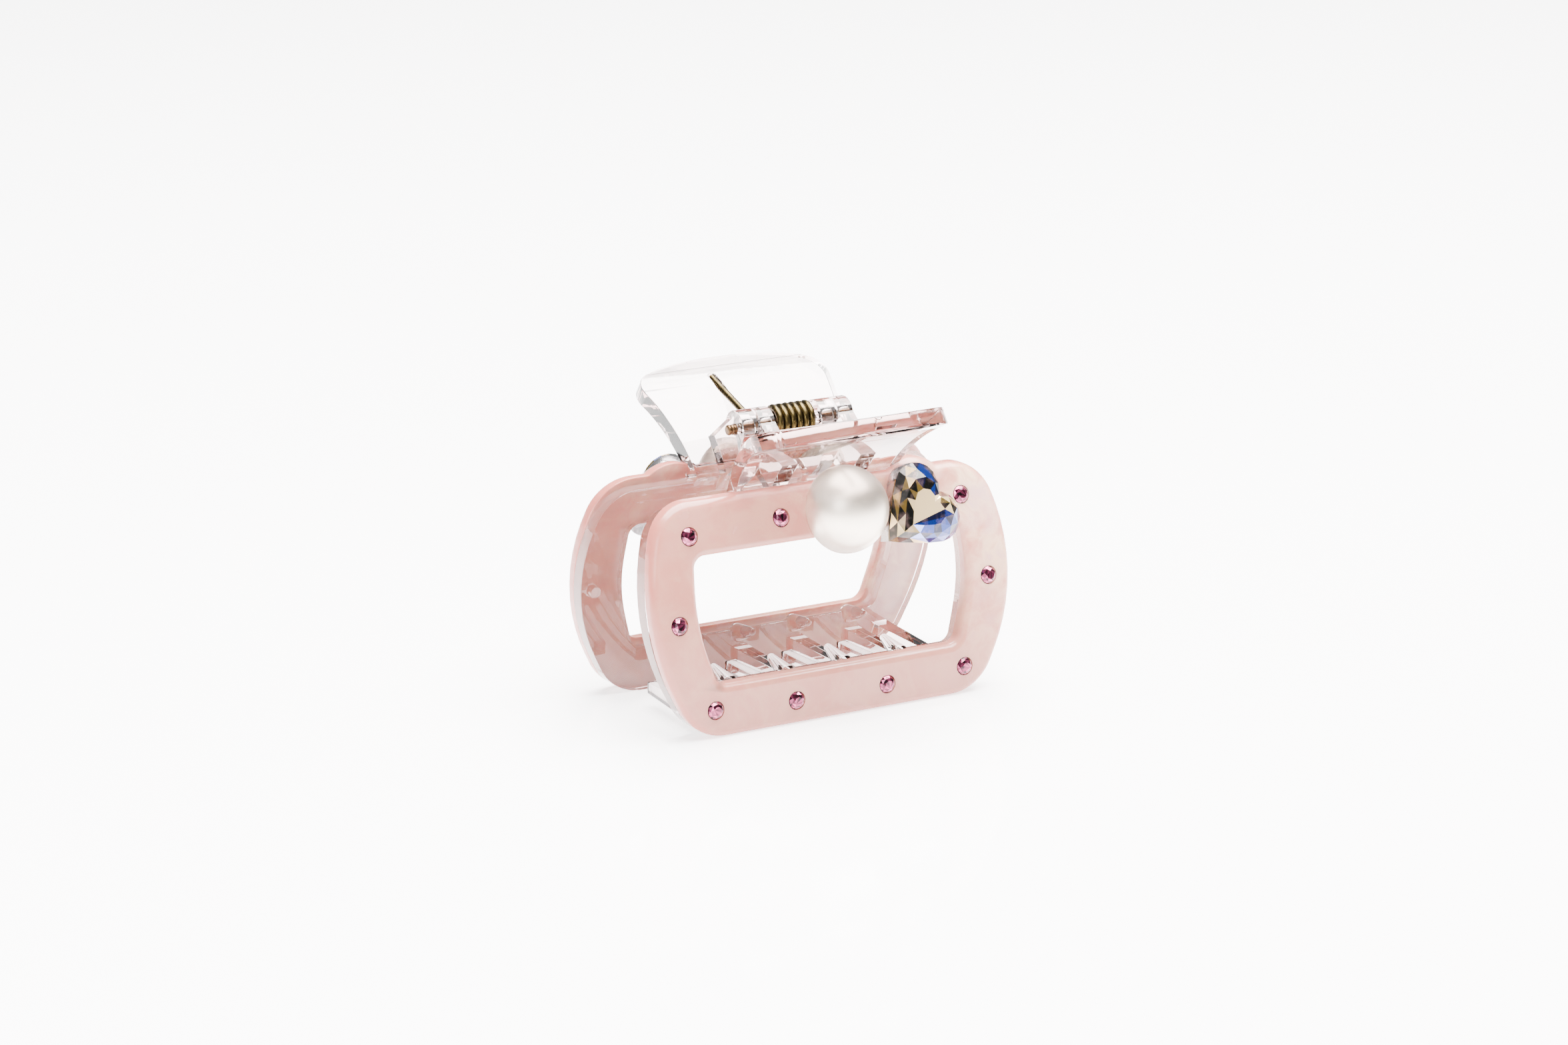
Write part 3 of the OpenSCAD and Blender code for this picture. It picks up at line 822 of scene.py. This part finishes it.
class CLIP_OT_rhinestones(PieceOperator):
    """Adds the cut rhinestones in their pockets"""

    bl_idname = "clip.rhinestones"
    bl_label = "Rhinestones"

    def build(self, sizes, colours):
        finish = pink_rhinestone(colours)
        stone = self.cut(sizes)
        turn_each = 1.1
        for number, x, z in stone_places():
            turn = Matrix.Rotation(number * turn_each, 4, "Z")
            piece = copy_of(stone, f"front_cut_stone_{number}", on_face(sizes, x, z) @ turn)
            dress_pair(
                piece, f"rear_cut_stone_{number}", finish, "pink_rhinestone", f"rhinestone_{number}"
            )
        bpy.data.objects.remove(stone)

    def cut(self, sizes):
        """A round stone: rings of corners at the seat, the girdle, the break and the table, in one hull."""
        radius, crown = stone_radius(), sizes.stone_crown
        # Corners, share of the radius, height and turn of each ring
        rings = [
            (16, 0.45, -sizes.stone_depth, 0),
            (16, 1.0, -0.12 * MM, 0),
            (16, 1.0, 0.02 * MM, 0),
            (8, 0.8, crown * 0.62, math.pi / 8),
            (8, 0.5, crown, 0),
        ]
        stone = empty_piece("cut_stone")
        with editing(stone):
            for corners, reach, height, turn in rings:
                bpy.ops.mesh.primitive_circle_add(
                    vertices=corners, radius=radius * reach, location=(0, 0, height), rotation=(0, 0, turn)
                )
            bpy.ops.mesh.select_all(action="SELECT")
            bpy.ops.mesh.convex_hull(join_triangles=True, face_threshold=0.02, shape_threshold=0.02)
        mark_painted_facet_light(stone)
        return stone


class CLIP_OT_pearls(PieceOperator):
    """Adds the two half-round pearls"""

    bl_idname = "clip.pearls"
    bl_label = "Pearls"

    def build(self, sizes, colours):
        low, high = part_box("front_pearl")
        radius = (high.x - low.x) / 2
        bpy.ops.object.select_all(action="DESELECT")
        bpy.ops.mesh.primitive_uv_sphere_add(segments=96, ring_count=64, radius=radius)
        pearl = named("front_half_pearl")
        with editing(pearl, everything=True):
            bpy.ops.mesh.bisect(
                plane_co=(0, 0, -sizes.pearl_sunk), plane_no=(0, 0, 1), clear_inner=True, use_fill=True
            )
        add_modifier(
            pearl,
            "BEVEL",
            limit_method="ANGLE",
            angle_limit=math.radians(50),
            width=sizes.pearl_edge,
            segments=3,
        )
        pearl.data.transform(on_face(sizes, (low.x + high.x) / 2, high.z - radius))
        smooth(pearl)
        dress_pair(pearl, "rear_half_pearl", pearl_lacquer(colours), "pearl", "pearl")


class CLIP_OT_hearts(PieceOperator):
    """Adds the two heart stones and their metal settings"""

    bl_idname = "clip.hearts"
    bl_label = "Hearts"

    # Shares of the heart's width: the right lobe's centre and radius, and how far down the point is
    lobe_x, lobe_up, lobe_r, point_down = 0.213, 0.158, 0.287, 0.515

    def build(self, sizes, colours):
        place = self.place(sizes)
        self.setting(sizes, colours, place)
        self.stone(sizes, colours, place)

    def place(self, sizes):
        """Where the heart stands, worked out from its node's right and upper limits."""
        low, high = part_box("front_heart_setting")
        turn, width = sizes.heart_turn, sizes.heart_w
        right = width * (self.lobe_x * math.cos(turn) + self.lobe_up * math.sin(turn) + self.lobe_r)
        above = width * (self.lobe_x * math.sin(turn) + self.lobe_up * math.cos(turn) + self.lobe_r)
        z = (low.z + high.z) / 2
        rounds = 4
        for _ in range(rounds):
            lean = math.asin((z - sizes.plumb_z) / sizes.face_r)
            z = high.z - above * math.cos(lean) - sizes.heart_setting * math.sin(lean)
        return on_face(sizes, high.x - right, z) @ Matrix.Rotation(-turn, 4, "Z")

    def half(self, name, sizes, rings, bulge=0.012):
        """The right half of a heart: the hull of its rings, cut down the middle.

        A ring holds the lobe's corners, the point, and corners along the straight side between them.
        The latter stand out by a small bulge. Each lone corner is a dot, too small to see.
        """
        width, dot = sizes.heart_w, 0.005 * MM
        slope = math.acos(self.lobe_r / math.hypot(self.lobe_x, self.lobe_up + self.point_down))
        slope -= math.pi / 2 + math.atan2(self.lobe_x, self.lobe_up + self.point_down)
        faced = Vector((math.cos(slope), math.sin(slope)))
        start = Vector((self.lobe_x, self.lobe_up)) + self.lobe_r * faced
        end = Vector((0, -self.point_down))
        half = empty_piece(name)
        with editing(half):
            for corners, reach, height, turn, *along in rings:
                scale = width * reach
                bpy.ops.mesh.primitive_circle_add(
                    vertices=corners,
                    radius=self.lobe_r * scale,
                    location=(self.lobe_x * scale, self.lobe_up * scale, height),
                    rotation=(0, 0, turn),
                )
                for spot in [end] + [start.lerp(end, share) + bulge * faced for share in along]:
                    bpy.ops.mesh.primitive_circle_add(
                        vertices=3, radius=dot, location=(*(spot * scale), height)
                    )
            bpy.ops.mesh.select_all(action="SELECT")
            bpy.ops.mesh.convex_hull(join_triangles=True, face_threshold=0.05, shape_threshold=0.05)
            bpy.ops.mesh.select_all(action="SELECT")
            bpy.ops.mesh.bisect(plane_co=(0, 0, 0), plane_no=(1, 0, 0), clear_inner=True)
        return half

    def whole(self, half):
        """Mirrors the half across its cut."""
        add_modifier(
            half, "MIRROR", use_axis=(True, False, False), use_clip=True, merge_threshold=TOUCHING / 2
        )
        with editing(half, everything=True):
            bpy.ops.mesh.remove_doubles(threshold=TOUCHING)
            bpy.ops.mesh.normals_make_consistent(inside=False)
        return half

    def setting(self, sizes, colours, place):
        """A plain cup with a rounded rim, just under the stone's girdle."""
        rings = [(64, 1.0, -0.2 * MM, 0), (64, 1.0, sizes.heart_setting, 0)]
        cup = self.whole(self.half("front_heart_cup", sizes, rings))
        top = sizes.heart_setting - TOUCHING / 2
        pick(cup, "polygons", lambda face: face.center.z > top)
        with editing(cup, "FACE"):
            bpy.ops.mesh.inset(thickness=sizes.cup_wall, depth=0)
            bpy.ops.mesh.extrude_region_move(TRANSFORM_OT_translate={"value": (0, 0, -sizes.cup_depth)})
        add_modifier(
            cup,
            "BEVEL",
            limit_method="ANGLE",
            angle_limit=math.radians(50),
            width=sizes.cup_edge,
            segments=2,
        )
        cup.data.transform(place)
        smooth(cup, 35)
        finish = worn_metal("silver setting", colours.silver, colours.silver_dull, roughness=0.12, wear=0.0)
        dress_pair(cup, "rear_heart_cup", finish, "setting_metal", "heart_setting")

    def stone(self, sizes, colours, place):
        """The cut heart: a girdle on the rim, a break and a table, with facets between them."""
        base, crown = sizes.heart_setting, sizes.heart_crown
        # Corners, share of the width, height and turn, then shares of the way along the side
        rings = [
            (18, 0.9, base - 0.3 * MM, 0),
            (18, 1.0, base + 0.02 * MM, 0, 0.2, 0.5, 0.8),
            (18, 1.0, base + 0.25 * MM, 0, 0.2, 0.5, 0.8),
            (9, 0.87, base + crown * 0.55, math.pi / 9, 0.35, 0.7),
            (9, 0.7, base + crown * 0.85, 0, 0.15, 0.55),
            (9, 0.46, base + crown, math.pi / 9, 0.5),
        ]
        stone = self.whole(self.half("front_heart_crystal", sizes, rings))
        self.colour_facets(stone, colours, place, base)
        stone.data.transform(place)
        dress_pair(stone, "rear_heart_crystal", heart_crystal(colours), "heart_crystal", "heart_stone")

    def colour_facets(self, stone, colours, place, base):
        """Navy, olive and dark facets at the top and the left edge, as painted shade; cream above, blue in
        the middle, lilac below, as the coating's tints.
        """
        cream, gold = colours.heart_cream, colours.heart_gold
        blue, navy = colours.heart_blue, colours.heart_navy
        lilac, dark = colours.heart_lilac, colours.heart_painted_shade
        girdle_top = base + 0.3 * MM
        # Limits of the areas, in millimetres from the heart's middle
        left_edge, top_edge = -1.9, 2.5
        navy_left, cream_right, blue_left = -0.2, 2.4, -0.9
        cream_foot, blue_foot = 0.4, -2.4
        tints = stone.data.attributes.new("facet_colour", "FLOAT_COLOR", "FACE")
        turn = place.to_3x3()
        for number, (face, tint) in enumerate(zip(stone.data.polygons, tints.data)):
            world = turn @ face.center
            up, out = world.z / MM, world.x / MM
            if face.center.z < girdle_top:
                group = (dark, gold, lilac)
            elif out < left_edge:
                group = (dark, gold, dark, dark, cream)
            elif up > top_edge:
                group = (navy, dark, blue) if out > navy_left else (dark, gold)
            elif up > cream_foot:
                group = (cream,) if out < cream_right else (cream, dark, gold)
            elif up > blue_foot:
                group = (gold, lilac) if out < blue_left else (blue, blue, navy)
            else:
                group = (lilac, cream, lilac, blue)
            tint.color = group[number % len(group)]


class CLIP_OT_hinge(PieceOperator):
    """Adds the hinge pin and the torsion spring, which winds between the two jaws"""

    bl_idname = "clip.hinge"
    bl_label = "Hinge"

    def build(self, sizes, colours):
        self.pin(sizes, colours)
        self.spring(sizes, colours)

    def pin(self, sizes, colours):
        low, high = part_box("hinge_pin")
        bpy.ops.object.select_all(action="DESELECT")
        bpy.ops.mesh.primitive_cylinder_add(
            vertices=48,
            radius=(high.z - low.z) / 2,
            depth=high.x - low.x,
            location=(low + high) / 2,
            rotation=(0, math.pi / 2, 0),
        )
        pin = named("hinge_axle")
        settle(pin)
        self.groove(pin, low)
        add_modifier(
            pin,
            "BEVEL",
            limit_method="ANGLE",
            angle_limit=math.radians(60),
            width=sizes.pin_edge,
            segments=4,
        )
        smooth(pin)
        finish = worn_metal("pin brass", colours.pin, colours.patina_and_painted_reflection, roughness=0.3, wear=0.1)
        dress(pin, finish, "antique_brass", REAR, "hinge_pin")

    def groove(self, pin, low):
        """Turns two shallow grooves near one end of the pin, at every other one of five cuts."""
        first, pitch, count, cut_share = low.x + 0.35 * MM, 0.16 * MM, 5, 0.88
        cuts = [first + number * pitch for number in range(count)]
        with editing(pin):
            for x in cuts:
                bpy.ops.mesh.select_all(action="SELECT")
                bpy.ops.mesh.bisect(plane_co=(x, 0, 0), plane_no=(1, 0, 0))

        def rule(point):
            in_groove = any(abs(point.x - x) < TOUCHING / 2 for x in cuts[1::2])
            axis = Vector((point.x, HINGE.y, HINGE.z))
            return axis + (cut_share if in_groove else 1.0) * (point - axis)

        move_points(pin, rule)

    def spring(self, sizes, colours):
        """A coil swept round the pin, whose two ends run out straight as its legs."""
        low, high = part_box("torsion_spring")
        wire_r = sizes.wire_d / 2
        turn_r = sizes.coil_d / 2 - wire_r
        coil_x = (high.x - low.x) / 2 - wire_r
        # The legs' slope, from a first guess that each round brings nearer
        slope, rounds = math.radians(18), 6
        for _ in range(rounds):
            leg_y = high.y - wire_r * math.sin(slope)
            leg_z = high.z - HINGE.z - wire_r * math.cos(slope)
            slope = math.atan2(leg_z, leg_y) + math.asin(turn_r / math.hypot(leg_y, leg_z))
        leg = math.sqrt(leg_y**2 + leg_z**2 - turn_r**2)
        sweep = 2 * math.pi * sizes.coil_turns + 2 * slope
        steps_a_turn = 24
        steps = steps_a_turn * sizes.coil_turns
        bpy.ops.object.select_all(action="DESELECT")
        bpy.ops.mesh.primitive_circle_add(vertices=16, radius=wire_r, location=(0, 0, 0))
        spring = named("coil_spring")
        section = (
            Matrix.Translation((-coil_x, turn_r * math.sin(slope), -turn_r * math.cos(slope)))
            @ Matrix.Rotation(slope, 4, "X")
            @ Matrix.Rotation(math.pi / 2, 4, "X")
        )
        spring.data.transform(section)
        add_modifier(
            spring,
            "SCREW",
            axis="X",
            angle=-sweep,
            screw_offset=2 * coil_x,
            steps=steps,
            render_steps=steps,
            use_smooth_shade=True,
        )
        for side in (-1, 1):
            end_x = side * coil_x
            out = Vector((0, -side * math.cos(slope), math.sin(slope)))
            start = Vector((end_x, -side * turn_r * math.sin(slope), -turn_r * math.cos(slope)))
            near = wire_r * 1.02
            pick(
                spring,
                "vertices",
                lambda v: (v.co - start).length < near and abs((v.co - start).dot(out)) < TOUCHING,
            )
            with editing(spring):
                bpy.ops.mesh.extrude_region_move(TRANSFORM_OT_translate={"value": leg * out})
                bpy.ops.mesh.edge_face_add()
        spring.data.transform(Matrix.Translation(HINGE))
        with editing(spring, everything=True):
            bpy.ops.mesh.normals_make_consistent(inside=False)
        smooth(spring)
        # Painted reflection: the dark patina share also stands in for reflections of dark surroundings.
        finish = worn_metal("antique brass", colours.brass, colours.patina_and_painted_reflection, roughness=0.2, wear=0.08)
        dress(spring, finish, "antique_brass", None, "torsion_spring")
        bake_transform(spring)


class CLIP_OT_stage(PieceOperator):
    """Adds the camera, the plain floor and the soft lights"""

    bl_idname = "clip.stage"
    bl_label = "Stage"

    def build(self, sizes, colours):
        self.camera()
        bpy.ops.object.select_all(action="DESELECT")
        bpy.ops.mesh.primitive_plane_add(size=8)
        floor = named("floor")
        floor.data.materials.append(plain_floor(colours))
        floor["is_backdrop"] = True
        self.light("top_softbox", (0.15, 0.05, 0.9), width=1.0, power=130, tint=colours.top_light)
        self.light("front_softbox", (-0.7, -0.7, 0.5), width=0.5, power=7, tint=colours.front_light)
        world = bpy.data.worlds.new("studio")
        world.use_nodes = True
        sky = world.node_tree.nodes["Background"]
        sky.inputs["Color"].default_value = (1, 1, 1, 1)
        sky.inputs["Strength"].default_value = 0.4
        bpy.context.scene.world = world

    def camera(self):
        """A long lens that looks down on the front jaw from its left."""
        aim = Vector((2.64, 5.78, 18.25)) * MM
        distance, azimuth, pitch = 506 * MM, math.radians(-30.55), math.radians(15.42)
        ahead = Vector(
            (-math.sin(azimuth) * math.cos(pitch), math.cos(azimuth) * math.cos(pitch), -math.sin(pitch))
        )
        turn = ahead.to_track_quat("-Z", "Y").to_euler()
        bpy.ops.object.camera_add(location=aim - distance * ahead, rotation=turn)
        camera = bpy.context.active_object
        camera.data.lens = 100
        camera.data.sensor_width = 36
        camera.data.clip_start = 0.01
        bpy.context.scene.camera = camera

    def light(self, name, place, width, power, tint):
        """A square softbox that faces the clip."""
        clip_middle = Vector((0, 0, 0.02))
        bpy.ops.object.light_add(type="AREA", location=place)
        lamp = named(name)
        lamp.data.shape = "SQUARE"
        lamp.data.size = width
        lamp.data.energy = power
        lamp.data.color = tint[:3]
        lamp.rotation_euler = (clip_middle - Vector(place)).to_track_quat("-Z", "Y").to_euler()


OPERATORS = (
    CLIP_OT_stage,
    CLIP_OT_covers,
    CLIP_OT_mouldings,
    CLIP_OT_rhinestones,
    CLIP_OT_pearls,
    CLIP_OT_hearts,
    CLIP_OT_hinge,
)


class CLIP_PT_panel(bpy.types.Panel):
    """The clip's pieces, sizes and colours"""

    bl_label = "Claw Clip"
    bl_space_type = "VIEW_3D"
    bl_region_type = "UI"
    bl_category = "Claw Clip"

    def draw(self, context):
        for operator in OPERATORS:
            self.layout.operator(operator.bl_idname)
        for group in (context.scene.clip_sizes, context.scene.clip_colours):
            box = self.layout.box()
            for name in group.bl_rna.properties.keys():
                if name not in ("rna_type", "name"):
                    box.prop(group, name)


CLASSES = (ClipSizes, ClipColours, *OPERATORS, CLIP_PT_panel)


def register():
    for each in CLASSES:
        bpy.utils.register_class(each)
    bpy.types.Scene.clip_sizes = PointerProperty(type=ClipSizes)
    bpy.types.Scene.clip_colours = PointerProperty(type=ClipColours)


def unregister():
    del bpy.types.Scene.clip_colours
    del bpy.types.Scene.clip_sizes
    for each in reversed(CLASSES):
        bpy.utils.unregister_class(each)


def corners(box):
    """A box's two corners as plain lists."""
    return [list(corner) for corner in box]


def main():
    register()
    for operator in OPERATORS:
        family, name = operator.bl_idname.split(".")
        getattr(getattr(bpy.ops, family), name)()
    {"cad": corners(cad_box), "visual": corners(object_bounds())}


if __name__ == "__main__":
    main()
